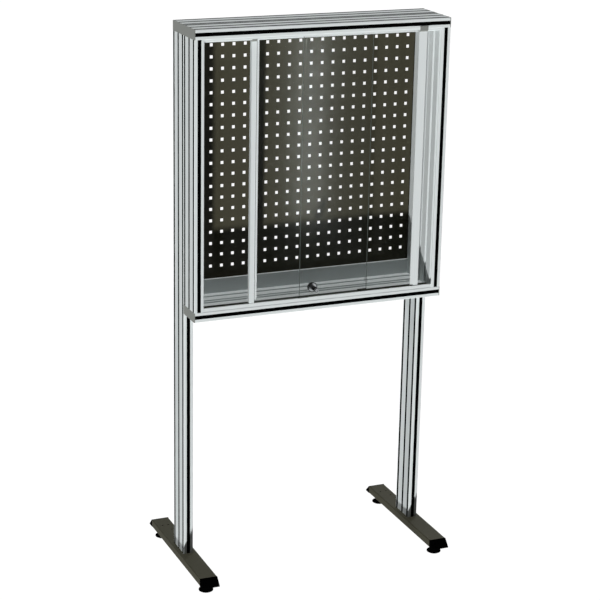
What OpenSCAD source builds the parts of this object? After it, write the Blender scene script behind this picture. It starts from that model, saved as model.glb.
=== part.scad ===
// Lockable notice board on two posts: slotted aluminium profiles, a perforated back panel,
// two sliding glass doors with a push lock, and two steel feet with levelling pads.
// Origin: centre of the footprint, on the floor. +X right, +Y to the rear, +Z up.

/* [Stand] */
// Overall width over the profiles
frame_w = 864; // [640:1:1300]
// Overall height from the floor
stand_h = 1825; // [1500:1:2200]
// Height of the cabinet over its top and bottom profiles
cabinet_h = 926; // [640:1:1200]

/* [Profile] */
// Width of the profile's wide face
section_w = 100; // [94:1:130]
// Thickness of the profile
section_t = 32; // [31:1:40]
// Width of a slot at the surface
slot_w = 12; // [10:0.5:12.5]
// Distance from the narrow face to the centre of the first slot
slot_edge = 9.5; // [9.2:0.1:10]
// Radius of the profile's outer corners
corner_r = 2; // [1:0.5:2.5]

/* [Panel] */
// Side of a square hole in the panel
hole_side = 10; // [6:0.5:14]
// Distance between hole centres
hole_pitch = 38; // [24:1:50]
// Thickness of the panel
panel_t = 2; // [1.5:0.1:2.5]
// Distance from the right inner wall to the last column of holes
hole_right_margin = 24.7; // [18:0.1:40]
// Distance from the top beam's underside to the first row of holes
hole_top_margin = 12.2; // [10:0.1:40]
// Height of the sill profile under the panel
sill_h = 48; // [30:1:70]

/* [Doors] */
// Overall width of the left door, which runs in the rear track
left_door_w = 415; // [300:1:640]
// Overall width of the right door, which runs in the front track
right_door_w = 422; // [300:1:640]
// Gap between the left inner wall and the left door as shown
left_door_gap = 162.1; // [1:0.1:180]
// Gap between the right inner wall and the right door as shown
right_door_gap = 48.5; // [1:0.1:180]
// Thickness of the glass
glass_t = 4; // [3:0.5:5]
// Width of a door stile
stile_w = 28; // [26:1:34]
// Height of the bottom track's front lip
bottom_lip_h = 11; // [9:0.5:14]
// Height of the top track's front lip
top_lip_h = 5.1; // [4.5:0.1:9]
// Height of the top track's middle rib
top_rib_h = 11.8; // [10:0.1:16]

/* [Lock] */
// Distance from the right door's free edge to the lock
lock_inset = 44; // [30:0.1:70]
// Height of the lock above the cabinet floor
lock_rise = 43; // [36:0.5:80]
// Diameter of the lock rosette
rosette_d = 33; // [28:1:40]
// Diameter of the push cylinder
cylinder_d = 15; // [14:0.5:16]
// How far the cylinder stands out of the rosette when open
cylinder_out = 36; // [20:0.5:40]

/* [Feet] */
// Width of a foot tube
foot_w = 60; // [50:1:80]
// Height of a foot tube
foot_h = 26; // [24:1:40]
// Length of a foot tube
foot_len = 488; // [400:1:700]
// Reach of a foot's end cap at the bottom
foot_cap_reach = 26; // [16:1:40]
// Height of a foot tube's underside over the floor
pad_gap = 30; // [28:1:40]
// Diameter of a levelling pad
pad_d = 48; // [36:1:54]

/* [Hidden] */

$fn = 48;
overshoot = 1;
floor_z = 0;

// Profile section
slot_lip = 3;
slot_depth = 7.5;
slot_undercut = 1.2;
slot_inner_w = slot_w + 2 * slot_undercut;
chamber_wall = 2;
chamber_edge = slot_depth + chamber_wall;
port_d = 6;
port_share = 0.22;
port_offset = section_w * port_share;
port_block_half = 6.5;

// Main levels and planes
half_w = frame_w / 2;
inner_half_w = half_w - section_t;
foot_top_z = pad_gap + foot_h;
beam_z = stand_h - section_t;
cabinet_floor_z = stand_h - cabinet_h + section_t;
cabinet_underside_z = cabinet_floor_z - section_t;
post_front_y = -section_w / 2;
front_y = post_front_y - section_w;
cabinet_mid_y = front_y + section_w / 2;
post_mid_x = half_w - section_t / 2;
rear_slot_y = section_w / 2 - slot_edge;

// End caps of the profiles
cap_t = 2.5;
cap_plug_len = 8;
cap_plug_gap = 0.1;

// Slot strips
strip_sink = 0.4;
strip_side_gap = 0.1;
strip_wing_reach = 0.8;
strip_wing_w = slot_w + 2 * strip_wing_reach;
strip_wing_t = 0.8;

// Panel, gasket and sill
panel_bite = 6.5;
panel_forward = 1.8;
panel_y = rear_slot_y - panel_forward;
sill_forward = 10.5;
sill_front_y = rear_slot_y - sill_forward;
sill_depth = sill_forward + slot_w / 2;
sill_wall = 1.8;
sill_groove_depth = 9;
sill_tongue_h = 2.5;
panel_bottom_z = cabinet_floor_z + sill_h - sill_groove_depth;
panel_top_z = beam_z + panel_bite;
panel_land = 8;
hole_edge_margin = hole_side / 2 + panel_land;
hole_columns = floor((2 * inner_half_w - hole_right_margin - hole_edge_margin) / hole_pitch) + 1;
hole_rows = floor((beam_z - cabinet_floor_z - sill_h - hole_top_margin - hole_edge_margin) / hole_pitch) + 1;

// Tracks, measured back from the cabinet's front face
lip_inset = 1.5;
lip_t = 1.6;
track_base_t = 1.6;
shoe_w = 14;
shoe_gap = 0.5;
mid_rib_t = 2;
rear_rib_t = 1.5;
rib_h = 5.6;
clip_t = 1.7;
clip_gap = 0.3;
track_tongue_h = 2.5;
liner_t = 1.2;
front_channel_y = front_y + lip_inset + lip_t;
front_shoe_y = front_channel_y + shoe_gap;
bottom_mid_y = front_shoe_y + shoe_w + shoe_gap;
top_mid_y = front_shoe_y + shoe_w + clip_t + 2 * clip_gap;
rear_channel_y = top_mid_y + mid_rib_t;
rear_shoe_y = rear_channel_y + shoe_gap;
rear_rib_y = rear_shoe_y + shoe_w + shoe_gap;
track_wall_y = front_y + section_w / 2 - slot_w / 2 - rear_rib_t;
front_pane_y = front_shoe_y + (shoe_w - glass_t) / 2;
rear_pane_y = rear_shoe_y + (shoe_w - glass_t) / 2;

// Doors
glide_gap = 0.3;
lift_gap = 2.4;
glide_floor_t = 3;
glide_len = 30;
glide_h = 7;
glide_top_rise = 1.6;
glide_top_drop = 1.4;
track_floor_z = cabinet_floor_z + track_base_t + liner_t;
track_ceiling_z = beam_z - track_base_t;
pane_bottom_z = track_floor_z + glide_gap + glide_floor_t;
pane_top_z = track_ceiling_z - lift_gap;
left_door_x = -inner_half_w + left_door_gap;
right_door_x = inner_half_w - right_door_gap;
stile_wall = 1.4;
stile_channel_w = 11.4;
stile_box_w = stile_w - stile_channel_w;
stile_step = 1;
stile_leg_step = 4.6;
stile_groove_w = 1.6;
stile_groove_depth = 3;
seal_sink = 0.2;
stile_pane_bite = 8;
stile_notch_h = 16.2;
guide_plug_len = 10;
guide_plug_gap = 0.2;
clip_drop = 4.2;
left_clip_rise = 6;
right_clip_rise = 14;
front_rib_z = beam_z - top_lip_h;
rear_rib_z = beam_z - top_rib_h;
catch_wall = 1;
catch_bite = 8;
catch_h = 16;
catch_rib_t = 2;
catch_rib_reach = 6;

// Lock, along Y
lock_x = right_door_x - right_door_w + lock_inset;
lock_z = cabinet_floor_z + lock_rise;
rosette_t = 5.8;
rosette_dish_depth = 2.2;
rosette_rim = 2.5;
dish_land = 2;
barrel_d = 20;
barrel_len = 9.2;
barrel_end_t = 2;
glass_hole_gap = 0.3;
glass_hole_d = barrel_d + 2 * glass_hole_gap;
lock_fit = 0.08;
nut_d = 27;
nut_t = 4.8;
nut_sides = 6;
bolt_d = 8;
cylinder_in = 2.5;
bolt_len = 8;
plug_d = 9;
plug_len = 20;
plug_sink = 0.4;
key_slot_w = 1.8;
key_slot_h = 6;
key_slot_depth = 14;
cylinder_chamfer = 1;
rosette_front_y = front_pane_y - rosette_t;
cylinder_front_y = rosette_front_y - cylinder_out;
cylinder_rear_y = rosette_front_y + cylinder_in;

// Feet
tube_wall = 2.5;
tube_r = 3;
foot_cap_top_reach = 3;
foot_cap_plug_len = 14;
foot_cap_plug_gap = 0.2;
foot_cap_plug_wall = 3;
foot_hole_d = 6;
foot_hole_x_shares = [-0.5, 0.5, 0.5];
foot_hole_y_shares = [1, 1, 0];
foot_hole_spread_x = 20.8;
foot_hole_spread_y = 39.5;
foot_hole_y = 148.5;
pad_inset = 23;
stud_d = 10;
stud_fit = 0.08;
nut_outer_d = 17;
foot_nut_h = 10;
stud_over = 0.5;
stud_top_z = pad_gap + tube_wall + foot_nut_h + stud_over;
pad_rim_h = 5;
pad_foot_inset = 4;
pad_base_d = pad_d - 2 * pad_foot_inset;
pad_neck_d = 20;
pad_top_h = 10;
pad_stud_sink = 5;
access_d = 14;

// Bolts
bolt_shank_d = 5.9;
bolt_hole_d = 6.6;
bolt_head_d = 10.5;
bolt_head_t = 3.2;
bolt_grip = 20;
key_len = 40;
key_side_gap = 0.1;
key_flange_t = 3.8;

// Colours
aluminium = "#d3d8d8";
dark_steel = "#41433c";
panel_grey = "#3e3d34";
grey_plastic = "#737671";
black_plastic = "#0a0a0a";
glass_tint = [0.8, 0.85, 0.84, 0.35];
chrome = "#c9cdcf";
zinc = "#a9adad";

// Profile section, centred: thickness along X, width along Y

module rounded_rectangle(w, h, r) {
    square([w - 2 * r, h], center = true);
    square([w, h - 2 * r], center = true);
    for (sx = [-1, 1]) {
        for (sy = [-1, 1]) {
            translate([sx * (w / 2 - r), sy * (h / 2 - r)]) circle(r);
        }
    }
}

// One slot, opening towards +Y with its mouth on the X axis
module slot_shape() {
    translate([-slot_w / 2, -slot_lip - overshoot / 2]) square([slot_w, slot_lip + overshoot]);
    translate([-slot_inner_w / 2, -slot_depth]) square([slot_inner_w, slot_depth - slot_lip]);
}

module chamber_shape(y0, y1) {
    translate([-section_t / 2 + chamber_edge, y0]) square([section_t - 2 * chamber_edge, y1 - y0]);
}

module profile_section() {
    slot_places = [-section_w / 2 + slot_edge, 0, section_w / 2 - slot_edge];
    difference() {
        rounded_rectangle(section_t, section_w, corner_r);
        for (y = slot_places) {
            translate([section_t / 2, y]) rotate(-90) slot_shape();
            translate([-section_t / 2, y]) rotate(90) slot_shape();
        }
        translate([0, section_w / 2]) slot_shape();
        translate([0, -section_w / 2]) rotate(180) slot_shape();
        for (s = [-1, 1]) {
            scale([1, s]) chamber_shape(port_block_half, port_offset - port_block_half);
            scale([1, s]) chamber_shape(port_offset + port_block_half, section_w / 2 - chamber_edge);
        }
        for (y = [-port_offset, 0, port_offset]) {
            translate([0, y]) circle(d = port_d);
        }
    }
}

// Upright profile between two heights
module upright_profile(x, y, z0, z1) {
    translate([x, y, z0]) linear_extrude(z1 - z0) profile_section();
}

// Flat profile along X between two places
module flat_profile(x0, x1, y, z) {
    translate([x0, y, z]) rotate([0, 90, 0]) linear_extrude(x1 - x0) profile_section();
}

// Vertical through hole under the middle slot of a flat profile
module beam_bolt_hole(x, y, z) {
    translate([x, y, z - section_t / 2 - overshoot]) cylinder(d = bolt_hole_d, h = section_t + 2 * overshoot);
}

module left_post() {
    color(aluminium) post(-1);
}

module right_post() {
    color(aluminium) post(1);
}

// Post with the cross hole that takes the rear rail's bolt
module post(side) {
    difference() {
        upright_profile(side * post_mid_x, 0, foot_top_z, beam_z);
        translate([side * post_mid_x, 0, cabinet_floor_z - section_t / 2])
            rotate([0, 90, 0]) cylinder(d = bolt_hole_d, h = section_t + 2 * overshoot, center = true);
    }
}

module rear_top_beam() {
    color(aluminium) difference() {
        flat_profile(-half_w + cap_t, half_w - cap_t, 0, beam_z + section_t / 2);
        for (s = [-1, 1]) beam_bolt_hole(s * post_mid_x, 0, beam_z + section_t / 2);
    }
}

module rear_bottom_rail() {
    color(aluminium) flat_profile(-inner_half_w, inner_half_w, 0, cabinet_floor_z - section_t / 2);
}

module cabinet_top_profile() {
    color(aluminium) difference() {
        flat_profile(-half_w + cap_t, half_w - cap_t, cabinet_mid_y, beam_z + section_t / 2);
        for (s = [-1, 1]) beam_bolt_hole(s * post_mid_x, cabinet_mid_y, beam_z + section_t / 2);
    }
}

module cabinet_bottom_profile() {
    color(aluminium) difference() {
        flat_profile(-half_w + cap_t, half_w - cap_t, cabinet_mid_y, cabinet_floor_z - section_t / 2);
        for (s = [-1, 1]) beam_bolt_hole(s * post_mid_x, cabinet_mid_y, cabinet_floor_z - section_t / 2);
    }
}

module cabinet_left_profile() {
    color(aluminium) upright_profile(-post_mid_x, cabinet_mid_y, cabinet_floor_z, beam_z);
}

module cabinet_right_profile() {
    color(aluminium) upright_profile(post_mid_x, cabinet_mid_y, cabinet_floor_z, beam_z);
}

// End cap of a flat profile, with two plugs that enter its outer chambers; side is -1 left, 1 right
module profile_cap(side, y, z) {
    plug_w = section_t - 2 * chamber_edge - 2 * cap_plug_gap;
    plug_h = section_w / 2 - chamber_edge - port_offset - port_block_half - 2 * cap_plug_gap;
    plug_y = port_offset + port_block_half + cap_plug_gap;
    color(grey_plastic) translate([side * half_w, y, z]) rotate([0, -side * 90, 0]) {
        linear_extrude(cap_t) rounded_rectangle(section_t, section_w, corner_r);
        for (s = [-1, 1]) {
            translate([-plug_w / 2, s > 0 ? plug_y : -plug_y - plug_h, 0]) cube([plug_w, plug_h, cap_t + cap_plug_len]);
        }
    }
}

module cap_top_front_left() { profile_cap(-1, cabinet_mid_y, beam_z + section_t / 2); }

module cap_top_rear_left() { profile_cap(-1, 0, beam_z + section_t / 2); }

module cap_bottom_left() { profile_cap(-1, cabinet_mid_y, cabinet_floor_z - section_t / 2); }

module cap_top_front_right() { profile_cap(1, cabinet_mid_y, beam_z + section_t / 2); }

module cap_top_rear_right() { profile_cap(1, 0, beam_z + section_t / 2); }

module cap_bottom_right() { profile_cap(1, cabinet_mid_y, cabinet_floor_z - section_t / 2); }

// Slot strips

// Strip section for a slot that opens towards +Y with its mouth on the X axis
module strip_shape() {
    translate([-slot_w / 2 + strip_side_gap, -slot_lip]) square([slot_w - 2 * strip_side_gap, slot_lip - strip_sink]);
    translate([-strip_wing_w / 2, -slot_lip - strip_wing_t]) square([strip_wing_w, strip_wing_t]);
}

module upright_strip(x, y, turn, z0, z1) {
    translate([x, y, z0]) linear_extrude(z1 - z0) rotate(turn) strip_shape();
}

module flat_strip(y, z, turn, x0, x1) {
    translate([x0, y, z]) rotate([90, 0, 90]) linear_extrude(x1 - x0) rotate(turn) strip_shape();
}

// Three strips on a wide face of an upright profile; face is -1 for the -X side
module upright_face_strips(x_mid, y_mid, face, z0, z1) {
    for (y = [-section_w / 2 + slot_edge, 0, section_w / 2 - slot_edge]) {
        upright_strip(x_mid + face * section_t / 2, y_mid + y, face > 0 ? -90 : 90, z0, z1);
    }
}

// Three strips on the top or underside of a flat profile; face is 1 for the top
module flat_face_strips(y_mid, z_mid, face, x0, x1) {
    for (y = [-section_w / 2 + slot_edge, 0, section_w / 2 - slot_edge]) {
        flat_strip(y_mid + y, z_mid + face * section_t / 2, face > 0 ? 0 : 180, x0, x1);
    }
}

module post_strips(side) {
    color(black_plastic) {
        upright_face_strips(side * post_mid_x, 0, side, foot_top_z, beam_z);
        upright_face_strips(side * post_mid_x, 0, -side, foot_top_z, cabinet_underside_z);
        upright_strip(side * post_mid_x, post_front_y, 180, foot_top_z, cabinet_underside_z);
        upright_strip(side * post_mid_x, -post_front_y, 0, foot_top_z, beam_z);
    }
}

module left_post_strips() { post_strips(-1); }

module right_post_strips() { post_strips(1); }

module side_strips(side) {
    color(black_plastic) {
        upright_face_strips(side * post_mid_x, cabinet_mid_y, side, cabinet_floor_z, beam_z);
        upright_strip(side * post_mid_x, front_y, 180, cabinet_floor_z, beam_z);
    }
}

module left_side_strips() { side_strips(-1); }

module right_side_strips() { side_strips(1); }

module top_strips() {
    x = half_w - cap_t;
    z_mid = beam_z + section_t / 2;
    color(black_plastic) {
        for (y = [0, cabinet_mid_y]) flat_face_strips(y, z_mid, 1, -x, x);
        flat_strip(front_y, z_mid, 90, -x, x);
        flat_strip(-post_front_y, z_mid, -90, -x, x);
    }
}

module bottom_strips() {
    x = half_w - cap_t;
    z_mid = cabinet_floor_z - section_t / 2;
    color(black_plastic) {
        flat_face_strips(cabinet_mid_y, z_mid, -1, -x, x);
        flat_face_strips(0, z_mid, -1, -inner_half_w, inner_half_w);
        flat_strip(front_y, z_mid, 90, -x, x);
        flat_strip(-post_front_y, z_mid, -90, -inner_half_w, inner_half_w);
    }
}

// Back of the cabinet

module perforated_panel() {
    w = 2 * (inner_half_w + panel_bite);
    last_x = inner_half_w - hole_right_margin;
    last_z = beam_z - hole_top_margin;
    color(panel_grey) translate([0, panel_y + panel_t, 0]) rotate([90, 0, 0]) linear_extrude(panel_t) difference() {
        translate([-w / 2, panel_bottom_z]) square([w, panel_top_z - panel_bottom_z]);
        for (i = [0 : hole_columns - 1]) {
            for (j = [0 : hole_rows - 1]) {
                translate([last_x - i * hole_pitch, last_z - j * hole_pitch]) square(hole_side, center = true);
            }
        }
    }
}

// Gasket round three sides of the panel: it fills the mouth of the slots and grips the panel's edge
module panel_gasket() {
    outer_half_w = inner_half_w + slot_depth;
    z0 = cabinet_floor_z + sill_h;
    color(black_plastic) difference() {
        translate([-outer_half_w, rear_slot_y - slot_w / 2, z0])
            cube([2 * outer_half_w, slot_w, beam_z + slot_depth - z0]);
        translate([-inner_half_w, rear_slot_y - slot_w, z0 - overshoot])
            cube([2 * inner_half_w, 2 * slot_w, beam_z - z0 + overshoot]);
        translate([-inner_half_w - panel_bite, panel_y, z0 - overshoot])
            cube([2 * (inner_half_w + panel_bite), panel_t, panel_top_z - z0 + overshoot]);
    }
}

// Hollow sill profile: stands on the rear rail, its tongue in the rail's rear slot, the panel in its groove
module sill_profile() {
    groove_y = panel_y - sill_front_y;
    hollow_top = sill_h - sill_groove_depth - sill_wall;
    color(aluminium) translate([-inner_half_w, sill_front_y, cabinet_floor_z])
        rotate([90, 0, 90]) linear_extrude(2 * inner_half_w) difference() {
            union() {
                square([sill_depth, sill_h]);
                translate([sill_depth - slot_w + strip_side_gap, -sill_tongue_h])
                    square([slot_w - 2 * strip_side_gap, sill_tongue_h + overshoot]);
            }
            translate([sill_wall, sill_wall]) square([sill_depth - 2 * sill_wall, hollow_top - sill_wall]);
            translate([groove_y, sill_h - sill_groove_depth]) square([panel_t, sill_groove_depth + overshoot]);
        }
}

// Door tracks

// Track section in Y and up: base, front lip, middle rib, rear wall and the tongue in the front slot
module track_shape(lip_h, mid_y, mid_h, wall_y) {
    base_y = front_y + lip_inset;
    tongue_y = front_y + slot_edge - slot_w / 2 + strip_side_gap;
    translate([base_y, 0]) square([wall_y + rear_rib_t - base_y, track_base_t]);
    translate([base_y, 0]) square([lip_t, lip_h]);
    translate([mid_y, 0]) square([rear_channel_y - mid_y, mid_h]);
    translate([wall_y, 0]) square([rear_rib_t, rib_h]);
    translate([tongue_y, -track_tongue_h])
        square([slot_w - 2 * strip_side_gap, track_tongue_h + track_base_t / 2]);
}

module bottom_track() {
    color(aluminium) translate([-inner_half_w, 0, cabinet_floor_z])
        rotate([90, 0, 90]) linear_extrude(2 * inner_half_w)
            track_shape(bottom_lip_h, bottom_mid_y, rib_h, track_wall_y);
}

module top_track() {
    color(aluminium) translate([-inner_half_w, 0, beam_z])
        rotate([90, 0, 90]) linear_extrude(2 * inner_half_w) scale([1, -1])
            track_shape(top_lip_h, top_mid_y, top_rib_h, rear_rib_y);
}

// Plastic sliding strips in the bottom track's two channels; the rear one has the guide rib
module track_liners() {
    color(black_plastic) translate([-inner_half_w, 0, cabinet_floor_z + track_base_t])
        rotate([90, 0, 90]) linear_extrude(2 * inner_half_w) {
            translate([front_channel_y, 0]) square([bottom_mid_y - front_channel_y, liner_t]);
            translate([rear_channel_y, 0]) square([track_wall_y - rear_channel_y, liner_t]);
            translate([rear_rib_y, 0]) square([rear_rib_t, rib_h - track_base_t]);
        }
}

// Doors: the left door's stile is at its left, the right door's at its right

module left_glass() {
    x0 = left_door_x + stile_w - stile_pane_bite;
    x1 = left_door_x + left_door_w - catch_wall;
    color(glass_tint) translate([x0, rear_pane_y, pane_bottom_z])
        cube([x1 - x0, glass_t, pane_top_z - pane_bottom_z]);
}

module right_glass() {
    x0 = right_door_x - right_door_w;
    x1 = right_door_x - stile_w + stile_pane_bite;
    color(glass_tint) difference() {
        translate([x0, front_pane_y, pane_bottom_z]) cube([x1 - x0, glass_t, pane_top_z - pane_bottom_z]);
        translate([lock_x, front_pane_y - overshoot, lock_z])
            rotate([-90, 0, 0]) cylinder(d = glass_hole_d, h = glass_t + 2 * overshoot);
    }
}

// Hollow bar of a stile: outer edge on the Y axis, grooved side on the X axis
module bar_shape() {
    difference() {
        square([stile_box_w, shoe_w]);
        translate([stile_wall, stile_wall]) square([stile_box_w - 2 * stile_wall, shoe_w - 2 * stile_wall]);
    }
}

// Channel of a stile: a seal groove beside the bar, and two legs on the pane, the grooved side's one shorter
module channel_shape() {
    pane = (shoe_w - glass_t) / 2;
    difference() {
        translate([stile_box_w, stile_step]) square([stile_channel_w, shoe_w - stile_step]);
        translate([stile_box_w, stile_step - overshoot]) square([stile_groove_w, stile_groove_depth + overshoot]);
        translate([stile_w - stile_pane_bite, pane]) square([stile_pane_bite + overshoot, glass_t]);
        translate([stile_w - stile_leg_step, stile_step - overshoot])
            square([stile_leg_step + overshoot, pane - stile_step + 2 * overshoot]);
    }
}

// Stile with its outer edge at the origin; its channel starts above the track
module stile(bar_top_z, channel_top_z) {
    notch_top_z = cabinet_floor_z + stile_notch_h;
    translate([0, 0, pane_bottom_z]) linear_extrude(bar_top_z - pane_bottom_z) bar_shape();
    translate([0, 0, notch_top_z]) linear_extrude(channel_top_z - notch_top_z) channel_shape();
}

module stile_seal(top_z) {
    z0 = cabinet_floor_z + stile_notch_h;
    translate([stile_box_w, stile_step + seal_sink, z0])
        cube([stile_groove_w, stile_groove_depth - seal_sink, top_z - z0]);
}

module left_stile() {
    color(aluminium) translate([left_door_x, rear_shoe_y, 0]) stile(rear_rib_z - clip_drop, pane_top_z);
}

module left_stile_seal() {
    color(black_plastic) translate([left_door_x, rear_shoe_y, 0]) stile_seal(pane_top_z);
}

// The right stile is the same profile turned round, so its grooved side is at the rear
module right_stile() {
    top_z = front_rib_z - clip_drop;
    color(aluminium) translate([right_door_x, front_shoe_y + shoe_w, 0]) rotate(180) stile(top_z, top_z);
}

module right_stile_seal() {
    color(black_plastic) translate([right_door_x, front_shoe_y + shoe_w, 0])
        rotate(180) stile_seal(front_rib_z - clip_drop);
}

// Body of a guide on a stile's top end, outer edge at the origin, with a plug in the stile's bar
module guide_cap(cap_w, z0) {
    plug_inset = stile_wall + guide_plug_gap;
    pane = (shoe_w - glass_t) / 2;
    cap_h = pane_top_z - z0;
    difference() {
        translate([0, 0, z0]) cube([cap_w, shoe_w, cap_h]);
        translate([stile_w - stile_pane_bite, pane, z0 - overshoot])
            cube([stile_pane_bite + overshoot, glass_t, cap_h + 2 * overshoot]);
    }
    translate([plug_inset, plug_inset, z0 - guide_plug_len])
        cube([stile_box_w - 2 * plug_inset, shoe_w - 2 * plug_inset, guide_plug_len + cap_h / 2]);
}

// Clip of a guide: a plate in front of the track's rib and a sloped foot under it, back to the stile's top
module guide_clip(x, w, plate_y, plate_top_z, rib_z, stile_y) {
    rear_y = stile_y + stile_wall;
    stile_z = rib_z - clip_drop;
    translate([x, 0, 0]) rotate([90, 0, 90]) linear_extrude(w) polygon([
        [plate_y, rib_z], [plate_y, plate_top_z], [plate_y + clip_t, plate_top_z],
        [plate_y + clip_t, rib_z - clip_gap], [rear_y, rib_z - clip_gap], [rear_y, stile_z], [stile_y, stile_z]
    ]);
}

// The rear door's guide covers the bar only and clips round the top track's middle rib
module left_top_guide() {
    plate_y = top_mid_y - clip_gap - clip_t;
    color(grey_plastic) {
        translate([left_door_x, rear_shoe_y, 0]) guide_cap(stile_box_w, rear_rib_z - clip_drop);
        guide_clip(left_door_x, stile_box_w, plate_y, rear_rib_z + left_clip_rise, rear_rib_z, rear_shoe_y);
    }
}

// The front door's guide clips round the top track's lip and stands in front of the profile
module right_top_guide() {
    plate_y = front_y - clip_gap - clip_t;
    color(grey_plastic) {
        translate([right_door_x, front_shoe_y + shoe_w, 0]) rotate(180) guide_cap(stile_w, front_rib_z - clip_drop);
        guide_clip(right_door_x - stile_w, stile_w, plate_y, front_rib_z + right_clip_rise, front_rib_z, front_shoe_y);
    }
}

// Clear clip on the rear pane's free edge; the lock's bolt stops against its rib
module lock_catch() {
    edge_x = left_door_x + left_door_w - catch_wall;
    color(glass_tint) translate([edge_x, rear_pane_y, lock_z - catch_h / 2]) linear_extrude(catch_h) {
        difference() {
            translate([-catch_bite, -catch_wall]) square([catch_bite + catch_wall, glass_t + 2 * catch_wall]);
            translate([-catch_bite - overshoot, 0]) square([catch_bite + overshoot, glass_t]);
        }
        translate([catch_wall - catch_rib_t, -catch_wall - catch_rib_reach])
            square([catch_rib_t, catch_rib_reach + catch_wall / 2]);
    }
}

// Glides of one door, stile on the left: a foot under the stile and a shoe and a top guide at the free end
module door_glides(door_w, y) {
    plug_inset = stile_wall + guide_plug_gap;
    pane = (shoe_w - glass_t) / 2;
    z0 = track_floor_z + glide_gap;
    top_t = glide_top_drop + glide_top_rise;
    translate([0, y, z0]) cube([stile_box_w, shoe_w, glide_floor_t]);
    translate([plug_inset, y + plug_inset, z0])
        cube([stile_box_w - 2 * plug_inset, shoe_w - 2 * plug_inset, glide_floor_t + guide_plug_len]);
    translate([door_w - glide_len, y, z0]) difference() {
        cube([glide_len, shoe_w, glide_h]);
        translate([-overshoot, pane, glide_floor_t]) cube([glide_len + 2 * overshoot, glass_t, glide_h]);
    }
    translate([door_w - glide_len, y, pane_top_z - glide_top_drop]) difference() {
        cube([glide_len, shoe_w, top_t]);
        translate([-overshoot, pane, -overshoot]) cube([glide_len + 2 * overshoot, glass_t, glide_top_drop + overshoot]);
    }
}

module left_glides() {
    color(black_plastic) translate([left_door_x, 0, 0]) door_glides(left_door_w, rear_shoe_y);
}

module right_glides() {
    color(black_plastic) translate([right_door_x, 0, 0]) mirror([1, 0, 0]) door_glides(right_door_w, front_shoe_y);
}

// Lock, all turned about the lock axis; the revolve's height runs to the rear

module along_lock(y) {
    translate([lock_x, y, lock_z]) rotate([-90, 0, 0]) children();
}

module lock_rosette() {
    r = rosette_d / 2;
    bore_r = cylinder_d / 2 + lock_fit;
    dish_r = bore_r + dish_land;
    rim_r = r - rosette_rim;
    tail = rosette_t + barrel_len;
    color(chrome) along_lock(rosette_front_y) difference() {
        rotate_extrude() polygon([
            [0, rosette_dish_depth], [dish_r, rosette_dish_depth], [rim_r, 0], [r - rosette_rim / 2, 0],
            [r, rosette_rim / 2], [r, rosette_t], [barrel_d / 2, rosette_t], [barrel_d / 2, tail], [0, tail]
        ]);
        translate([0, 0, -overshoot]) cylinder(r = bore_r, h = tail - barrel_end_t + overshoot);
        cylinder(d = bolt_d + 2 * lock_fit, h = tail + overshoot);
    }
}

module lock_nut() {
    color(chrome) along_lock(front_pane_y + glass_t) difference() {
        cylinder(d = nut_d, h = nut_t, $fn = nut_sides);
        translate([0, 0, -overshoot]) cylinder(d = barrel_d + 2 * lock_fit, h = nut_t + 2 * overshoot);
    }
}

module lock_cylinder() {
    r = cylinder_d / 2;
    len = cylinder_out + cylinder_in;
    color(chrome) along_lock(cylinder_front_y) difference() {
        rotate_extrude() polygon([
            [0, 0], [r - cylinder_chamfer, 0], [r, cylinder_chamfer], [r, len],
            [bolt_d / 2, len], [bolt_d / 2, len + bolt_len], [0, len + bolt_len]
        ]);
        translate([0, 0, -overshoot]) cylinder(d = plug_d + 2 * lock_fit, h = plug_len + overshoot);
    }
}

module lock_plug() {
    color(zinc) along_lock(cylinder_front_y + plug_sink) difference() {
        cylinder(d = plug_d, h = plug_len - plug_sink);
        translate([-key_slot_w / 2, -key_slot_h / 2, -overshoot])
            cube([key_slot_w, key_slot_h, key_slot_depth + overshoot]);
    }
}

// Feet

module foot(side) {
    inner_w = foot_w - 2 * tube_wall;
    inner_h = foot_h - 2 * tube_wall;
    z_mid = pad_gap + foot_h / 2;
    color(dark_steel) translate([side * post_mid_x, 0, 0]) difference() {
        translate([0, foot_len / 2, z_mid]) rotate([90, 0, 0]) linear_extrude(foot_len) difference() {
            rounded_rectangle(foot_w, foot_h, tube_r);
            square([inner_w, inner_h], center = true);
        }
        for (k = [0 : len(foot_hole_x_shares) - 1]) {
            translate([
                foot_hole_x_shares[k] * foot_hole_spread_x,
                foot_hole_y + foot_hole_y_shares[k] * foot_hole_spread_y,
                foot_top_z - tube_wall - overshoot
            ]) cylinder(d = foot_hole_d, h = tube_wall + 2 * overshoot);
        }
        for (s = [-1, 1]) {
            translate([0, s * port_offset, foot_top_z - tube_wall - overshoot])
                cylinder(d = bolt_hole_d, h = tube_wall + 2 * overshoot);
            translate([0, s * port_offset, pad_gap - overshoot]) cylinder(d = access_d, h = tube_wall + 2 * overshoot);
            translate([0, s * (foot_len / 2 - pad_inset), pad_gap - overshoot])
                cylinder(d = stud_d + 2 * stud_fit, h = tube_wall + 2 * overshoot);
        }
    }
}

module left_foot() { foot(-1); }

module right_foot() { foot(1); }

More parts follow.
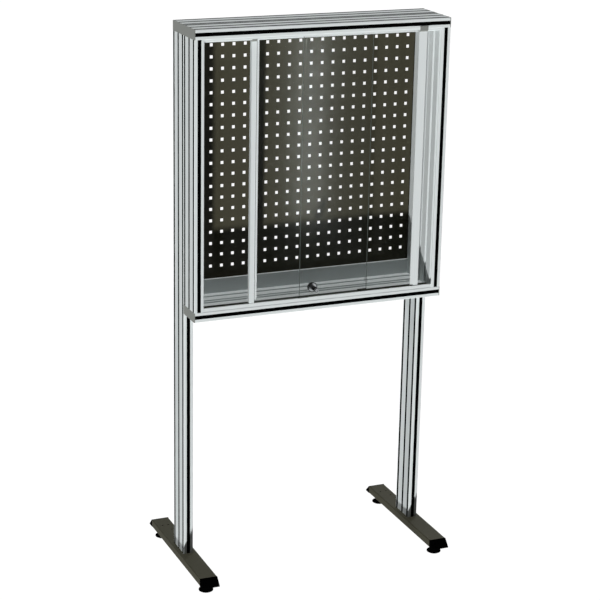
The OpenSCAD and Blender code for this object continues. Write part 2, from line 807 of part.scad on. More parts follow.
// End cap of a foot; side -1 left or 1 right, end -1 front or 1 rear
module foot_cap(side, end) {
    plug_w = foot_w - 2 * tube_wall - 2 * foot_cap_plug_gap;
    plug_h = foot_h - 2 * tube_wall - 2 * foot_cap_plug_gap;
    plug_z = pad_gap + tube_wall + foot_cap_plug_gap;
    color(black_plastic) translate([side * post_mid_x, 0, 0]) scale([1, end, 1]) {
        translate([-foot_w / 2, foot_len / 2, 0]) rotate([90, 0, 90]) linear_extrude(foot_w) polygon([
            [0, pad_gap], [foot_cap_reach, pad_gap], [foot_cap_reach, pad_gap + tube_r],
            [foot_cap_top_reach, foot_top_z], [0, foot_top_z]
        ]);
        translate([-plug_w / 2, foot_len / 2 - foot_cap_plug_len, plug_z]) difference() {
            cube([plug_w, foot_cap_plug_len, plug_h]);
            translate([foot_cap_plug_wall, -overshoot, foot_cap_plug_wall])
                cube([plug_w - 2 * foot_cap_plug_wall, foot_cap_plug_len + overshoot, plug_h]);
        }
    }
}

module left_foot_front_cap() { foot_cap(-1, -1); }

module left_foot_rear_cap() { foot_cap(-1, 1); }

module right_foot_front_cap() { foot_cap(1, -1); }

module right_foot_rear_cap() { foot_cap(1, 1); }

// Welded nuts inside the tubes, over the studs
module foot_nuts() {
    color(zinc) for (sx = [-1, 1]) {
        for (sy = [-1, 1]) {
            translate([sx * post_mid_x, sy * (foot_len / 2 - pad_inset), pad_gap + tube_wall]) difference() {
                cylinder(d = nut_outer_d, h = foot_nut_h, $fn = nut_sides);
                translate([0, 0, -overshoot]) cylinder(d = stud_d + 2 * stud_fit, h = foot_nut_h + 2 * overshoot);
            }
        }
    }
}

module pad(sx, sy) {
    color(black_plastic) translate([sx * post_mid_x, sy * (foot_len / 2 - pad_inset), floor_z]) difference() {
        rotate_extrude() polygon([
            [0, 0], [pad_base_d / 2, 0], [pad_d / 2, pad_rim_h / 2], [pad_d / 2, pad_rim_h],
            [pad_neck_d / 2, pad_top_h], [0, pad_top_h]
        ]);
        translate([0, 0, pad_stud_sink]) cylinder(d = stud_d, h = pad_top_h);
    }
}

module stud(sx, sy) {
    color(zinc) translate([sx * post_mid_x, sy * (foot_len / 2 - pad_inset), pad_stud_sink])
        cylinder(d = stud_d, h = stud_top_z - pad_stud_sink);
}

module left_front_pad() { pad(-1, -1); }

module left_rear_pad() { pad(-1, 1); }

module right_front_pad() { pad(1, -1); }

module right_rear_pad() { pad(1, 1); }

module left_front_stud() { stud(-1, -1); }

module left_rear_stud() { stud(-1, 1); }

module right_front_stud() { stud(1, -1); }

module right_rear_stud() { stud(1, 1); }

// Fasteners

// Button-head bolt, head seat at the origin, shank towards -Z
module bolt(shank_len) {
    translate([0, 0, -shank_len]) cylinder(d = bolt_shank_d, h = shank_len);
    cylinder(d = bolt_head_d, h = bolt_head_t);
}

module frame_bolts() {
    shank = section_t - slot_depth + bolt_grip;
    color(zinc) for (s = [-1, 1]) {
        for (y = [0, cabinet_mid_y]) translate([s * post_mid_x, y, stand_h - slot_depth]) bolt(shank);
        translate([s * post_mid_x, cabinet_mid_y, cabinet_underside_z + slot_depth]) rotate([180, 0, 0]) bolt(shank);
        translate([s * (half_w - slot_depth), 0, cabinet_floor_z - section_t / 2])
            rotate([0, s * 90, 0]) bolt(shank);
    }
}

module foot_bolts() {
    color(zinc) for (sx = [-1, 1]) {
        for (sy = [-1, 1]) {
            translate([sx * post_mid_x, sy * port_offset, foot_top_z - tube_wall])
                rotate([180, 0, 0]) bolt(tube_wall + bolt_grip);
        }
    }
}

// Key with two flanges that joins the facing narrow slots of two profiles; length along Z
module joint_key() {
    web_w = slot_w - 2 * key_side_gap;
    flange_w = slot_inner_w - 2 * key_side_gap;
    translate([0, post_front_y, 0]) linear_extrude(key_len, center = true) {
        square([web_w, 2 * slot_lip], center = true);
        for (s = [-1, 1]) {
            translate([0, s * (slot_lip + key_flange_t / 2)]) square([flange_w, key_flange_t], center = true);
        }
    }
}

module joint_keys() {
    key_shares = [0.2, 0.5, 0.8];
    color(zinc) for (share = key_shares) {
        z = cabinet_floor_z + share * (beam_z - cabinet_floor_z);
        x = (share * 2 - 1) * inner_half_w;
        for (s = [-1, 1]) translate([s * post_mid_x, 0, z]) joint_key();
        for (beam_mid_z = [beam_z + section_t / 2, cabinet_floor_z - section_t / 2]) {
            translate([x, 0, beam_mid_z]) rotate([0, 90, 0]) joint_key();
        }
    }
}

left_post();
right_post();
rear_top_beam();
rear_bottom_rail();
cabinet_top_profile();
cabinet_bottom_profile();
cabinet_left_profile();
cabinet_right_profile();
cap_top_front_left();
cap_top_rear_left();
cap_bottom_left();
cap_top_front_right();
cap_top_rear_right();
cap_bottom_right();
left_post_strips();
right_post_strips();
left_side_strips();
right_side_strips();
top_strips();
bottom_strips();
perforated_panel();
panel_gasket();
sill_profile();
bottom_track();
top_track();
track_liners();
left_glass();
left_stile();
left_stile_seal();
left_top_guide();
left_glides();
lock_catch();
right_glass();
right_stile();
right_stile_seal();
right_top_guide();
right_glides();
lock_rosette();
lock_nut();
lock_cylinder();
lock_plug();
left_foot();
right_foot();
left_foot_front_cap();
left_foot_rear_cap();
right_foot_front_cap();
right_foot_rear_cap();
foot_nuts();
left_front_pad();
left_rear_pad();
right_front_pad();
right_rear_pad();
left_front_stud();
left_rear_stud();
right_front_stud();
right_rear_stud();
frame_bolts();
foot_bolts();
joint_keys();
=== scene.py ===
"""Looks of a lockable notice board: anodised aluminium profiles on two coated steel feet,
a perforated back panel and two sliding glass doors with a push lock."""

import math

import bmesh
import bpy
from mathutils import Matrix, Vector


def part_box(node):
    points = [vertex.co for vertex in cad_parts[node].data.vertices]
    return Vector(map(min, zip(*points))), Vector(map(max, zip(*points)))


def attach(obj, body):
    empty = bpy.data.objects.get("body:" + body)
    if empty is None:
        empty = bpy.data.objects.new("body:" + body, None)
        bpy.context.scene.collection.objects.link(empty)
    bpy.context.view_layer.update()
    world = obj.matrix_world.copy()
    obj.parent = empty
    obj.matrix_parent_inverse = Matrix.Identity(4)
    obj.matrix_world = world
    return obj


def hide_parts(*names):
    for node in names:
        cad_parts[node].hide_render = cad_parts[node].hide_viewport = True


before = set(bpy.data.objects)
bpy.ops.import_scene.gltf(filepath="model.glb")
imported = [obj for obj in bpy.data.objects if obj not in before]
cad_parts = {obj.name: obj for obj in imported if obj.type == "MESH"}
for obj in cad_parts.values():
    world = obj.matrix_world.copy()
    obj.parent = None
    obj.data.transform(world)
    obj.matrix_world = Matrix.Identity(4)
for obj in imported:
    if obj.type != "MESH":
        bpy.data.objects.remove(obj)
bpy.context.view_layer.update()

# The scene is in metres. The part's own lengths are named in mm, and angles are in degrees
MM = 0.001
# Points of the construction that are closer than this are one point
WELD = 0.001
# Axis numbers
ACROSS = 0
UPWARDS = 2


def linear(hex_colour):
    """Turns an sRGB hex colour into the linear colour that the shaders take."""
    parts = [int(hex_colour[i:i + 2], 16) / 255 for i in (1, 3, 5)]
    return [p / 12.92 if p <= 0.04045 else ((p + 0.055) / 1.055) ** 2.4 for p in parts] + [1.0]


def per_mm(size_mm):
    """Texture scale at which one feature is size_mm long, for coordinates in metres."""
    return 1.0 / (size_mm * MM)


def add(tree, kind, values=None, links=None, **settings):
    """Adds a node, sets its own settings and its sockets' values, and links its sockets."""
    made = tree.nodes.new(kind)
    for name, value in settings.items():
        setattr(made, name, value)
    for name, value in (values or {}).items():
        made.inputs[name].default_value = value
    for name, source in (links or {}).items():
        tree.links.new(source, made.inputs[name])
    return made


def new_material(name):
    """A material with an empty node tree, and that tree."""
    made = bpy.data.materials.new(name)
    made.use_nodes = True
    made.node_tree.nodes.clear()
    return made, made.node_tree


# Materials

# Die lines are drawn coarser than real, so that they show
DIE_LINE_PITCH = 1.5
DIE_LINE_LEN = 350


def extruded_aluminium(name, along):
    """Anodised extruded aluminium, AlMgSi0.5: pale and matt, with faint die lines along the profile.
    The oxide layer scatters nearly all light, so the shader is hardly metallic and has little gloss."""
    made, tree = new_material(name)
    place = add(tree, "ShaderNodeTexCoord").outputs["Object"]
    stretch = [per_mm(DIE_LINE_PITCH)] * 3
    stretch[along] = per_mm(DIE_LINE_LEN)
    lines_place = add(tree, "ShaderNodeMapping", {"Scale": stretch},
                      {"Vector": place}).outputs["Vector"]
    lines = add(tree, "ShaderNodeTexNoise", {"Scale": 1.0, "Detail": 3.0, "Roughness": 0.6},
                {"Vector": lines_place}).outputs["Fac"]
    cloud = add(tree, "ShaderNodeTexNoise", {"Scale": per_mm(160), "Detail": 2.0},
                {"Vector": place}).outputs["Fac"]
    tone = add(tree, "ShaderNodeMix", {"A": linear("#d0d6d6"), "B": linear("#dadfdf")},
               {"Factor": lines}, data_type="RGBA").outputs["Result"]
    rough = add(tree, "ShaderNodeMapRange", {"To Min": 0.6, "To Max": 0.7},
                {"Value": cloud}).outputs["Result"]
    relief = add(tree, "ShaderNodeBump", {"Strength": 0.25, "Distance": 0.02 * MM},
                 {"Height": lines}).outputs["Normal"]
    shader = add(tree, "ShaderNodeBsdfPrincipled", {"Metallic": 0.04, "Specular IOR Level": 0.05},
                 {"Base Color": tone, "Roughness": rough, "Normal": relief})
    add(tree, "ShaderNodeOutputMaterial", None, {"Surface": shader.outputs["BSDF"]})
    return made


def moulded_plastic(name, dark, light, grain_mm, roughness, specular):
    """Injection moulded ABS or polyamide: an even colour with a fine spark-eroded grain.
    Rubber and ground glass look as even, each with a grain of its own size."""
    made, tree = new_material(name)
    place = add(tree, "ShaderNodeTexCoord").outputs["Object"]
    grain = add(tree, "ShaderNodeTexNoise", {"Scale": per_mm(grain_mm), "Detail": 2.0},
                {"Vector": place}).outputs["Fac"]
    tone = add(tree, "ShaderNodeMix", {"A": linear(dark), "B": linear(light)}, {"Factor": grain},
               data_type="RGBA").outputs["Result"]
    relief = add(tree, "ShaderNodeBump", {"Strength": 0.3, "Distance": 0.05 * MM},
                 {"Height": grain}).outputs["Normal"]
    shader = add(tree, "ShaderNodeBsdfPrincipled",
                 {"IOR": 1.5, "Roughness": roughness, "Specular IOR Level": specular},
                 {"Base Color": tone, "Normal": relief})
    add(tree, "ShaderNodeOutputMaterial", None, {"Surface": shader.outputs["BSDF"]})
    return made


def powder_coat(name, dark, light, peel_mm, peel_depth_mm, roughness, specular):
    """Powder-coated steel: baked polyester with a slight orange peel, which breaks up the gloss."""
    made, tree = new_material(name)
    place = add(tree, "ShaderNodeTexCoord").outputs["Object"]
    peel = add(tree, "ShaderNodeTexNoise", {"Scale": per_mm(peel_mm), "Detail": 3.0},
               {"Vector": place}).outputs["Fac"]
    cloud = add(tree, "ShaderNodeTexNoise", {"Scale": per_mm(120), "Detail": 2.0},
                {"Vector": place}).outputs["Fac"]
    tone = add(tree, "ShaderNodeMix", {"A": linear(dark), "B": linear(light)}, {"Factor": cloud},
               data_type="RGBA").outputs["Result"]
    relief = add(tree, "ShaderNodeBump", {"Strength": 0.4, "Distance": peel_depth_mm * MM},
                 {"Height": peel}).outputs["Normal"]
    shader = add(tree, "ShaderNodeBsdfPrincipled",
                 {"IOR": 1.5, "Roughness": roughness, "Specular IOR Level": specular},
                 {"Base Color": tone, "Normal": relief})
    add(tree, "ShaderNodeOutputMaterial", None, {"Surface": shader.outputs["BSDF"]})
    return made


# How far the clouds in a plating raise and lower its roughness
PLATING_SPREAD = 0.2


def plated_metal(name, dark, light, roughness):
    """Plated steel or die casting: nickel is smooth and mirrors the room, zinc is duller and cloudy."""
    made, tree = new_material(name)
    place = add(tree, "ShaderNodeTexCoord").outputs["Object"]
    cloud = add(tree, "ShaderNodeTexNoise", {"Scale": per_mm(6), "Detail": 3.0},
                {"Vector": place}).outputs["Fac"]
    tone = add(tree, "ShaderNodeMix", {"A": linear(dark), "B": linear(light)}, {"Factor": cloud},
               data_type="RGBA").outputs["Result"]
    rough = add(tree, "ShaderNodeMapRange", {"To Min": roughness * (1 - PLATING_SPREAD),
                                             "To Max": roughness * (1 + PLATING_SPREAD)},
                {"Value": cloud}).outputs["Result"]
    shader = add(tree, "ShaderNodeBsdfPrincipled", {"Metallic": 1.0},
                 {"Base Color": tone, "Roughness": rough})
    add(tree, "ShaderNodeOutputMaterial", None, {"Surface": shader.outputs["BSDF"]})
    return made


def clear_sheet(name, dark, light, body):
    """Clear toughened float glass or clear polycarbonate: nearly everything behind it shows, the body
    takes a little light away, and no reflection veils what stands behind it."""
    made, tree = new_material(name)
    place = add(tree, "ShaderNodeTexCoord").outputs["Object"]
    haze = add(tree, "ShaderNodeTexNoise", {"Scale": per_mm(200), "Detail": 2.0},
               {"Vector": place}).outputs["Fac"]
    tone = add(tree, "ShaderNodeMix", {"A": linear(dark), "B": linear(light)}, {"Factor": haze},
               data_type="RGBA").outputs["Result"]
    shader = add(tree, "ShaderNodeBsdfPrincipled",
                 {"IOR": 1.5, "Roughness": 0.02, "Specular IOR Level": 0.0, "Alpha": body},
                 {"Base Color": tone})
    add(tree, "ShaderNodeOutputMaterial", None, {"Surface": shader.outputs["BSDF"]})
    return made


# Pale matt metal, with die lines along the length of upright and of level profiles
aluminium_upright = extruded_aluminium("anodised_aluminium_upright", UPWARDS)
aluminium_flat = extruded_aluminium("anodised_aluminium_flat", ACROSS)
# Deep black without gloss: the slots read as even dark lines
slot_plastic = moulded_plastic("black_slot_cover", "#020202", "#040404", 0.8, 0.9, 0.0)
# Dull warm grey, well darker than the tracks that it lines
track_plastic = moulded_plastic("grey_track_liner", "#4e4e49", "#575751", 1.2, 0.8, 0.0)
# Mid grey with a faint sheen, one step darker than the metal beside it
cap_plastic = moulded_plastic("grey_end_cap", "#757874", "#80837f", 0.9, 0.6, 0.25)
# Black and dull, with a coarser grain than the slot covers
foot_plastic = moulded_plastic("black_polyamide", "#030303", "#060606", 1.2, 0.8, 0.0)
# Soft black that gives nothing back: a thin dark line along a joint
gasket_rubber = moulded_plastic("black_gasket", "#020202", "#050505", 1.5, 0.9, 0.0)
# Dark warm grey, smooth enough for a broad soft sheen
panel_coat = powder_coat("panel_powder_coat", "#3d3b30", "#424034", 1.6, 0.006, 0.12, 0.05)
# A little paler and dull, with an orange peel that shows close by
foot_coat = powder_coat("foot_powder_coat", "#434237", "#48473c", 1.1, 0.06, 0.6, 0.03)
# One nickel plate in two tones: this nearly black tone is a painted dark reflection, with thin real
# highlights of the bright room
nickel_painted_dark_reflection = plated_metal("nickel_with_painted_dark_reflection", "#232525", "#2d2f2f", 0.14)
# The silvery tone of the same nickel is a painted bright reflection, with soft real reflections on top
nickel_painted_bright_reflection = plated_metal("nickel_with_painted_bright_reflection", "#8e9294", "#9da0a2", 0.2)
# Dull silvery grey, slightly cloudy
zinc = plated_metal("zinc_plate", "#8f9495", "#a5a9aa", 0.35)
# Matt grey-green: a faint pale line where a pane ends
pane_edge = moulded_plastic("ground_glass_edge", "#5a605c", "#646a66", 0.6, 0.5, 0.0)
# A trace of dark grey-green over what stands behind
glass = clear_sheet("clear_float_glass", "#1c211f", "#232826", 0.03)
# A light grey veil, just enough to see the clip
clear_plastic = clear_sheet("clear_polycarbonate", "#7c807f", "#868a89", 0.06)

UPRIGHT_ALUMINIUM = ("left_post", "right_post", "cabinet_left_profile", "cabinet_right_profile",
                     "left_stile", "right_stile")
FLAT_ALUMINIUM = ("rear_top_beam", "rear_bottom_rail", "cabinet_top_profile", "cabinet_bottom_profile",
                  "sill_profile", "bottom_track", "top_track")
SLOT_COVERS = ("left_post_strips", "right_post_strips", "left_side_strips", "right_side_strips",
               "top_strips", "bottom_strips")
TRACK_PLASTICS = ("track_liners", "left_glides", "right_glides")
GREY_CAPS = ("cap_top_front_left", "cap_top_rear_left", "cap_bottom_left", "cap_top_front_right",
             "cap_top_rear_right", "cap_bottom_right", "left_top_guide", "right_top_guide")
FOOT_PLASTICS = ("left_foot_front_cap", "left_foot_rear_cap", "right_foot_front_cap",
                 "right_foot_rear_cap", "left_front_pad", "left_rear_pad", "right_front_pad",
                 "right_rear_pad")
RUBBERS = ("panel_gasket", "left_stile_seal", "right_stile_seal")
NICKELLED = ("lock_rosette", "lock_nut", "lock_cylinder")
ZINCED = ("foot_nuts", "left_front_stud", "left_rear_stud", "right_front_stud", "right_rear_stud",
          "frame_bolts", "foot_bolts", "joint_keys")

for material, nodes in (
    (aluminium_upright, UPRIGHT_ALUMINIUM),
    (aluminium_flat, FLAT_ALUMINIUM),
    (slot_plastic, SLOT_COVERS),
    (track_plastic, TRACK_PLASTICS),
    (cap_plastic, GREY_CAPS),
    (foot_plastic, FOOT_PLASTICS),
    (gasket_rubber, RUBBERS),
    (clear_plastic, ("lock_catch",)),
    (panel_coat, ("perforated_panel",)),
    (foot_coat, ("left_foot", "right_foot")),
    # The lock's nickel takes a painted dark reflection, its plug a painted bright one
    (nickel_painted_dark_reflection, NICKELLED),
    (nickel_painted_bright_reflection, ("lock_plug",)),
    (zinc, ZINCED),
    (glass, ("left_glass", "right_glass")),
):
    for node in nodes:
        for material_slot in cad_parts[node].material_slots:
            material_slot.material = material


def new_piece(name, mesh_builder, node, body, *materials):
    """A piece made of the given bmesh, which stands for a node and rides on its body."""
    mesh = bpy.data.meshes.new(name)
    mesh_builder.to_mesh(mesh)
    mesh_builder.free()
    for material in materials:
        mesh.materials.append(material)
    piece = bpy.data.objects.new(name, mesh)
    bpy.context.scene.collection.objects.link(piece)
    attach(piece, body)
    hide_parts(node)
    return piece


def solid_parts(node):
    """The corner points of each separate solid of a node, in metres."""
    mesh = bmesh.new()
    mesh.from_mesh(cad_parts[node].data)
    bmesh.ops.remove_doubles(mesh, verts=mesh.verts, dist=WELD * MM)
    waiting = set(mesh.verts)
    parts = []
    for first in mesh.verts:
        if first not in waiting:
            continue
        waiting.remove(first)
        found = [first]
        unsearched = [first]
        while unsearched:
            corner = unsearched.pop()
            for edge in corner.link_edges:
                other = edge.other_vert(corner)
                if other in waiting:
                    waiting.remove(other)
                    found.append(other)
                    unsearched.append(other)
        parts.append([corner.co.copy() for corner in found])
    mesh.free()
    return parts


# Slot covers

# Height of the cover's top over the strip that it stands for
COVER_RAISE = 0.35
COVER_SHOULDER = 0.4
SHOULDER_STEPS = 4
COVER_TOP_W = 11.8
COVER_WING_W = 13.6
COVER_WING_T = 0.8
COVER_H = 3.75
# Corners this close to a strip's lowest or highest one lie on that side of it
SAME_SIDE = 0.1


def cover_section():
    """Section of a slot cover from its top down, across and outwards, in mm."""
    half = COVER_TOP_W / 2
    points = []
    for step in range(SHOULDER_STEPS + 1):
        turn = math.radians(90 * step / SHOULDER_STEPS)
        points.append((half - COVER_SHOULDER + COVER_SHOULDER * math.sin(turn),
                       -COVER_SHOULDER + COVER_SHOULDER * math.cos(turn)))
    points += [(half, COVER_WING_T - COVER_H), (COVER_WING_W / 2, COVER_WING_T - COVER_H),
               (COVER_WING_W / 2, -COVER_H)]
    return points + [(-across, out) for across, out in reversed(points)]


def slot_covers(node):
    """Co-extruded slot covers: level with the profile's face, with rounded shoulders. A strip is
    narrower on the side that faces outwards, which tells the way that its cover points."""
    built = bmesh.new()
    for corners in solid_parts(node):
        low = [min(c[axis] for c in corners) for axis in range(3)]
        high = [max(c[axis] for c in corners) for axis in range(3)]
        deep, across, along = sorted(range(3), key=lambda axis: high[axis] - low[axis])
        middle = (low[across] + high[across]) / 2
        reach_low = max(abs(c[across] - middle) for c in corners
                        if c[deep] - low[deep] < SAME_SIDE * MM)
        reach_high = max(abs(c[across] - middle) for c in corners
                         if high[deep] - c[deep] < SAME_SIDE * MM)
        outward = 1 if reach_high < reach_low else -1
        mouth = (high[deep] if outward > 0 else low[deep]) + outward * COVER_RAISE * MM
        rings = []
        for end in (low[along], high[along]):
            ring = []
            for side, out in cover_section():
                place = [0.0, 0.0, 0.0]
                place[along] = end
                place[across] = middle + side * MM
                place[deep] = mouth + outward * out * MM
                ring.append(built.verts.new(place))
            rings.append(ring)
        built.faces.new(rings[0])
        built.faces.new(rings[1])
        for i in range(len(rings[0])):
            j = (i + 1) % len(rings[0])
            built.faces.new((rings[0][i], rings[0][j], rings[1][j], rings[1][i]))
    bmesh.ops.recalc_face_normals(built, faces=built.faces)
    piece = new_piece(node.replace("strips", "slot_covers"), built, node, "frame", slot_plastic)


for node in SLOT_COVERS:
    slot_covers(node)

# Panes

ARRIS = 0.5
# Faces that meet at less than this are one flat face
FLAT_JOINT_ANGLE = 1
# Edges sharper than this are rims of a pane
RIM_ANGLE = 60
# A normal this far along y belongs to one of the pane's two large faces
FACING = 0.9


def pane(node, body):
    """Toughened pane: clear faces, and ground edges with an arris that read as a faint pale line."""
    built = bmesh.new()
    built.from_mesh(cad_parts[node].data)
    bmesh.ops.remove_doubles(built, verts=built.verts, dist=WELD * MM)
    bmesh.ops.dissolve_limit(built, angle_limit=math.radians(FLAT_JOINT_ANGLE), verts=built.verts,
                             edges=built.edges)
    rims = [edge for edge in built.edges
            if len(edge.link_faces) == 2 and edge.calc_face_angle() > math.radians(RIM_ANGLE)
            and any(abs(face.normal.y) > FACING for face in edge.link_faces)]
    bmesh.ops.bevel(built, geom=rims, offset=ARRIS * MM, segments=1, affect="EDGES")
    built.normal_update()
    for face in built.faces:
        face.material_index = 0 if abs(face.normal.y) > FACING else 1
    piece = new_piece(node.replace("glass", "pane"), built, node, body, glass, pane_edge)


pane("left_glass", "left_door")
pane("right_glass", "right_door")

# Lock

LOCK_STEPS = 48
# Faces that meet at less than this are shaded as one round surface
ROUND_ANGLE = 35
ROSETTE_DISH_DEPTH = 2.2
ROSETTE_T = 5.8
ROSETTE_RIM = 2.5
RIM_STEPS = 8
DISH_LAND = 2.0
BARREL_R = 10.0
BARREL_END_T = 2.0
LOCK_FIT = 0.08
BOLT_R = 4.0
BOLT_LEN = 8.0
PLUG_R = 4.5
PLUG_LEN = 20.0
CYLINDER_CHAMFER = 1.5
GROOVE_DEPTH = 0.4
# Behind the cylinder's front, where the groove starts, is deep, rises again and ends
GROOVE_PLACES = (3.0, 3.3, 3.9, 4.2)
(lock_x0, cylinder_front, lock_z0), (lock_x1, bolt_tip, lock_z1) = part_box("lock_cylinder")
LOCK_AXIS = ((lock_x0 + lock_x1) / 2, (lock_z0 + lock_z1) / 2)
CYLINDER_R = (lock_x1 - lock_x0) / 2 / MM
# Painted dark and bright reflections of the one nickel plate, by their place in the pieces' materials
PAINTED_DARK_REFLECTION = 0
PAINTED_BRIGHT_REFLECTION = 1


def turned(name, front, profile, painted_reflections, node, body):
    """A nickelled part turned about the lock's axis. The profile gives radius and distance behind the
    front in mm, round the section, and painted_reflections gives one painted dark or bright reflection
    for each stretch to the next point."""
    built = bmesh.new()
    rings = []
    for radius, back in profile:
        ring = []
        for step in range(LOCK_STEPS if radius > 0 else 1):
            turn = math.tau * step / LOCK_STEPS
            ring.append(built.verts.new((LOCK_AXIS[0] + radius * MM * math.cos(turn), front + back * MM,
                                         LOCK_AXIS[1] + radius * MM * math.sin(turn))))
        rings.append(ring)
    for ring, following, painted_reflection in zip(rings, rings[1:] + rings[:1], painted_reflections):
        if len(ring) == 1 and len(following) == 1:
            continue
        for i in range(LOCK_STEPS):
            j = (i + 1) % LOCK_STEPS
            corners = [ring[i % len(ring)], ring[j % len(ring)], following[j % len(following)],
                       following[i % len(following)]]
            face = built.faces.new(list(dict.fromkeys(corners)))
            face.material_index = painted_reflection
            face.smooth = True
    bmesh.ops.recalc_face_normals(built, faces=built.faces)
    for edge in built.edges:
        edge.smooth = (len(edge.link_faces) == 2
                       and edge.calc_face_angle() < math.radians(ROUND_ANGLE))
    # The pieces' two materials are the painted dark and bright reflections of one nickel plate
    piece = new_piece(name, built, node, body, nickel_painted_dark_reflection, nickel_painted_bright_reflection)


def rosette():
    """Pressed rosette: a rounded rim round a dish, on a barrel through the pane. The rim and barrel are
    painted with a dark reflection, the dish with a bright one.
    """
    low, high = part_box("lock_rosette")
    radius = (high[0] - low[0]) / 2 / MM
    front = low[1]
    tail = (high[1] - front) / MM
    bore = CYLINDER_R + LOCK_FIT
    bead = ROSETTE_RIM / 2
    profile = [(bore, ROSETTE_DISH_DEPTH), (bore + DISH_LAND, ROSETTE_DISH_DEPTH)]
    # The dish and its land carry the painted bright reflection, the rim and the rest the painted dark one
    painted_reflections = [PAINTED_BRIGHT_REFLECTION, PAINTED_BRIGHT_REFLECTION]
    for step in range(RIM_STEPS + 1):
        turn = math.radians(-90 + 180 * step / RIM_STEPS)
        profile.append((radius - bead + bead * math.sin(turn), bead - bead * math.cos(turn)))
    profile += [(radius, ROSETTE_T), (BARREL_R, ROSETTE_T), (BARREL_R, tail), (BOLT_R + LOCK_FIT, tail),
                (BOLT_R + LOCK_FIT, tail - BARREL_END_T), (bore, tail - BARREL_END_T)]
    painted_reflections += [PAINTED_DARK_REFLECTION] * (len(profile) - len(painted_reflections))
    turned("lock_rosette_turned", front, profile, painted_reflections, "lock_rosette", "right_door")


def cylinder():
    """Cylinder with an end inside a chamfer, and a groove turned behind it. The end and the groove are
    painted with a bright reflection, the chamfer and the barrel with a dark one.
    """
    length = (bolt_tip - cylinder_front) / MM
    collar = length - BOLT_LEN
    start, deep, rise, end = GROOVE_PLACES
    profile = [(PLUG_R + LOCK_FIT, 0), (CYLINDER_R - CYLINDER_CHAMFER, 0), (CYLINDER_R, CYLINDER_CHAMFER),
               (CYLINDER_R, start), (CYLINDER_R - GROOVE_DEPTH, deep), (CYLINDER_R - GROOVE_DEPTH, rise),
               (CYLINDER_R, end), (CYLINDER_R, collar), (BOLT_R, collar), (BOLT_R, length), (0, length),
               (0, PLUG_LEN), (PLUG_R + LOCK_FIT, PLUG_LEN)]
    # The end and the groove carry the painted bright reflection, the chamfer and the rest the painted
    # dark one
    painted_reflections = [PAINTED_BRIGHT_REFLECTION, PAINTED_DARK_REFLECTION, PAINTED_DARK_REFLECTION, PAINTED_BRIGHT_REFLECTION, PAINTED_BRIGHT_REFLECTION, PAINTED_BRIGHT_REFLECTION]
    painted_reflections += [PAINTED_DARK_REFLECTION] * (len(profile) - len(painted_reflections))
    turned("lock_cylinder_turned", cylinder_front, profile, painted_reflections, "lock_cylinder", "lock_cylinder")


rosette()
cylinder()

# Levelling studs

THREAD_PITCH = 1.5
THREAD_DEPTH = 0.92
# Share of the pitch that a flat crest takes, and a flat root too
THREAD_FLAT = 1 / 6
# Points round the stud, and rows of points in one pitch
THREAD_STEPS = 24
THREAD_ROWS = 6


def threaded_stud(name):
    """M10 stud with its rolled thread: flat crests and roots, and a cone at each end."""
    (x0, y0, z0), (x1, y1, z1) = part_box(name + "_stud")
    radius = (x1 - x0) / 2
    centre = ((x0 + x1) / 2, (y0 + y1) / 2)
    rows = int((z1 - z0) / (THREAD_PITCH * MM) * THREAD_ROWS)
    built = bmesh.new()
    rings = []
    for row in range(rows + 1):
        z = z0 + (z1 - z0) * row / rows
        ring = []
        for step in range(THREAD_STEPS):
            share = step / THREAD_STEPS
            phase = ((z - z0) / (THREAD_PITCH * MM) - share) % 1.0
            from_root = abs(phase - 0.5) - THREAD_FLAT / 2
            flank = min(1.0, max(0.0, from_root / (0.5 - THREAD_FLAT)))
            end_gap = min(z - z0, z1 - z)
            depth = max(THREAD_DEPTH * MM * (1 - flank), THREAD_DEPTH * MM - end_gap)
            turn = math.tau * share
            ring.append(built.verts.new((centre[0] + (radius - depth) * math.cos(turn),
                                         centre[1] + (radius - depth) * math.sin(turn), z)))
        rings.append(ring)
    for lower, upper in zip(rings, rings[1:]):
        for i in range(THREAD_STEPS):
            j = (i + 1) % THREAD_STEPS
            built.faces.new((lower[i], lower[j], upper[j], upper[i]))
    built.faces.new(list(reversed(rings[0])))
    built.faces.new(rings[-1])
    piece = new_piece(name + "_thread", built, name + "_stud", name + "_leveller", zinc)


for name in ("left_front", "left_rear", "right_front", "right_rear"):
    threaded_stud(name)

# Floor and studio, with places and lengths in metres from here on

FLOOR_REACH = 40.0
FLOOR_GREY = 0.18
FLOOR_GLOW = 0.93
WORLD_LIGHT = 0.02
WORLD_SEEN = 1.0
WHITE = (1, 1, 1, 1)


def seen(tree):
    """One for rays from the camera and for those that it sees by gloss or through glass, or else zero."""
    path = add(tree, "ShaderNodeLightPath")
    by_eye = add(tree, "ShaderNodeMath", None,
                 {0: path.outputs["Is Camera Ray"], 1: path.outputs["Is Glossy Ray"]},
                 operation="MAXIMUM").outputs["Value"]
    return add(tree, "ShaderNodeMath", None, {0: by_eye, 1: path.outputs["Is Transmission Ray"]},
               operation="MAXIMUM").outputs["Value"]


floor_mesh = bpy.data.meshes.new("floor")
floor_mesh.from_pydata([(-FLOOR_REACH, -FLOOR_REACH, 0), (FLOOR_REACH, -FLOOR_REACH, 0),
                        (FLOOR_REACH, FLOOR_REACH, 0), (-FLOOR_REACH, FLOOR_REACH, 0)],
                       [], [(0, 1, 2, 3)])
floor = bpy.data.objects.new("floor", floor_mesh)
bpy.context.scene.collection.objects.link(floor)
# The key comes from below the floor and has to pass it
floor.visible_shadow = False

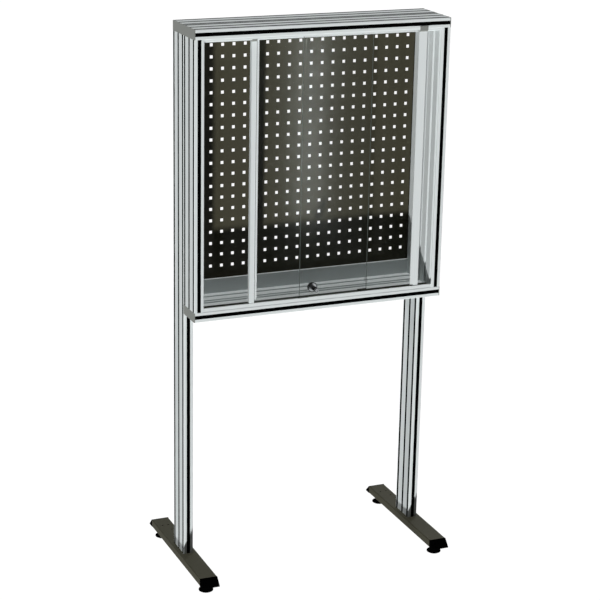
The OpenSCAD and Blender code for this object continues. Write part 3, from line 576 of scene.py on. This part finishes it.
# White to the eye and grey to the lamps: the floor shows no edge and lights the part a little from below
floor_material, tree = new_material("studio_floor")
matt = add(tree, "ShaderNodeBsdfDiffuse",
           {"Color": (FLOOR_GREY, FLOOR_GREY, FLOOR_GREY, 1)}).outputs["BSDF"]
glow_level = add(tree, "ShaderNodeMath", {1: FLOOR_GLOW}, {0: seen(tree)},
                 operation="MULTIPLY").outputs["Value"]
glow = add(tree, "ShaderNodeEmission", {"Color": WHITE}, {"Strength": glow_level}).outputs["Emission"]
both = add(tree, "ShaderNodeAddShader", None, {0: matt, 1: glow}).outputs["Shader"]
add(tree, "ShaderNodeOutputMaterial", None, {"Surface": both})
floor_mesh.materials.append(floor_material)

# White to the eye, but nearly dark as a light, so that the lamps alone shape the part
world = bpy.data.worlds.new("studio")
bpy.context.scene.world = world
world.use_nodes = True
tree = world.node_tree
tree.nodes.clear()
level = add(tree, "ShaderNodeMapRange", {"To Min": WORLD_LIGHT, "To Max": WORLD_SEEN},
            {"Value": seen(tree)}).outputs["Result"]
sky = add(tree, "ShaderNodeBackground", {"Color": WHITE}, {"Strength": level}).outputs["Background"]
add(tree, "ShaderNodeOutputWorld", None, {"Surface": sky})

# Lamps


def new_lamp(data, travel):
    """A lamp with the given data, turned so that its light travels along the given direction."""
    lamp = bpy.data.objects.new(data.name, data)
    lamp.rotation_euler = Vector(travel).to_track_quat("-Z", "Y").to_euler()
    bpy.context.scene.collection.objects.link(lamp)
    return lamp


def sun(name, energy, angle, travel, casts_shadow):
    """A distant lamp. Its angle is its breadth in the sky, which softens the edges of shadows."""
    data = bpy.data.lights.new(name, "SUN")
    data.energy = energy
    data.angle = math.radians(angle)
    data.use_shadow = casts_shadow
    return new_lamp(data, travel)


def link_lamp(lamp, node, state):
    """The lamp lights this node alone with INCLUDE, and all but this node with EXCLUDE."""
    group = bpy.data.collections.new(lamp.name + "_" + node)
    group.objects.link(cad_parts[node])
    group.collection_objects[0].light_linking.link_state = state
    lamp.light_linking.receiver_collection = group


# The key comes from the front left and from below the horizon, so it lights the fronts and leaves no
# shadow on the floor. The left stile has a key of its own, so that the front lip's shadow doesn't cut
# off its foot
KEY_TRAVEL = (0.55, 1.02, 1.1)
KEY_ENERGY = 4.2
KEY_ANGLE = 3.5
link_lamp(sun("low_key", KEY_ENERGY, KEY_ANGLE, KEY_TRAVEL, True), "left_stile", "EXCLUDE")
link_lamp(sun("stile_key", KEY_ENERGY, KEY_ANGLE, KEY_TRAVEL, False), "left_stile", "INCLUDE")

# The fills lift the left side, the top faces and the rear
sun("side_fill", energy=0.98, angle=10.0, travel=(0.95, -0.08, -0.3), casts_shadow=True)
sun("top_fill", energy=1.3, angle=5.0, travel=(0.0, 0.0, -1.0), casts_shadow=False)
sun("back_fill", energy=2.2, angle=5.0, travel=(-0.8, -0.8, -0.12), casts_shadow=True)

# A tall faintly green strip gives the panel its sheen and lights nothing else
STRIP_PLACE = (1.262, -2.8, 0.85)
STRIP_TRAVEL = (-1.3, 2.8, 0.0)
STRIP_COLOUR = (0.92, 1.0, 0.95)
strip = bpy.data.lights.new("strip_light", "AREA")
strip.shape = "RECTANGLE"
strip.size = 0.11
strip.size_y = 1.1
strip.color = STRIP_COLOUR
strip.energy = 22.0
strip_lamp = new_lamp(strip, STRIP_TRAVEL)
strip_lamp.location = STRIP_PLACE
strip_lamp.visible_diffuse = False
link_lamp(strip_lamp, "perforated_panel", "INCLUDE")

# Camera at the photograph's place, as solved together with the part

CAMERA_PLACE = (-2.27185, -5.28999, 2.71931)
CAMERA_TURN = (72.3379, -1.0690, -22.8496)
camera_data = bpy.data.cameras.new("camera")
camera_data.sensor_width = 36
camera_data.lens = 109.42
camera_data.shift_x = -0.0007
camera_data.shift_y = -0.0011
camera_data.clip_end = 100
camera = bpy.data.objects.new("camera", camera_data)
camera.location = CAMERA_PLACE
camera.rotation_euler = [math.radians(angle) for angle in CAMERA_TURN]
bpy.context.scene.collection.objects.link(camera)
bpy.context.scene.camera = camera
bpy.context.scene.view_settings.view_transform = "Standard"
